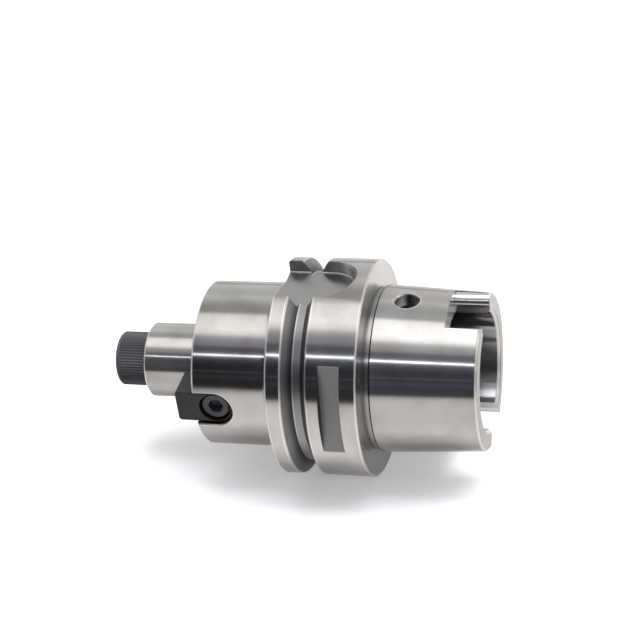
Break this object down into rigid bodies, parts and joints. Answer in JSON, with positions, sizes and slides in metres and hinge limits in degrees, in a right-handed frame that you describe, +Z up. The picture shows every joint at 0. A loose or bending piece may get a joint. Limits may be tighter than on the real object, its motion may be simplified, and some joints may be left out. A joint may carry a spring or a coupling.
{
  "type": "shell mill arbor",
  "caption": "Shell mill arbor with hollow taper shank, grooved flange, pilot, bolted drive keys and a knurled retaining screw.",
  "frame": {"origin": "on the arbor's axis, in the plane of the flange's contact face", "axes": "+X along the axis to the shank end, -X to the pilot and retaining screw, +Z up through the wide gripper slot, -Y to the side the picture shows"},
  "size_m": [0.111, 0.063, 0.063],
  "materials": {
    "ground_steel": "ground and hardened",
    "black_key": "black oxide",
    "black_screw": "black oxide"
  },
  "bodies": {
    "arbor": {"holder_body": "ground_steel", "drive_key_front": "black_key", "drive_key_rear": "black_key", "key_screw_front": "black_screw", "key_screw_rear": "black_screw"},
    "screw": {"retaining_screw": "black_screw"}
  },
  "joints": [
    {"name": "screw_out", "type": "slide", "parent": "arbor", "child": "screw", "axis": [-1, 0, 0], "range_m": [0, 0.025]}
  ]
}
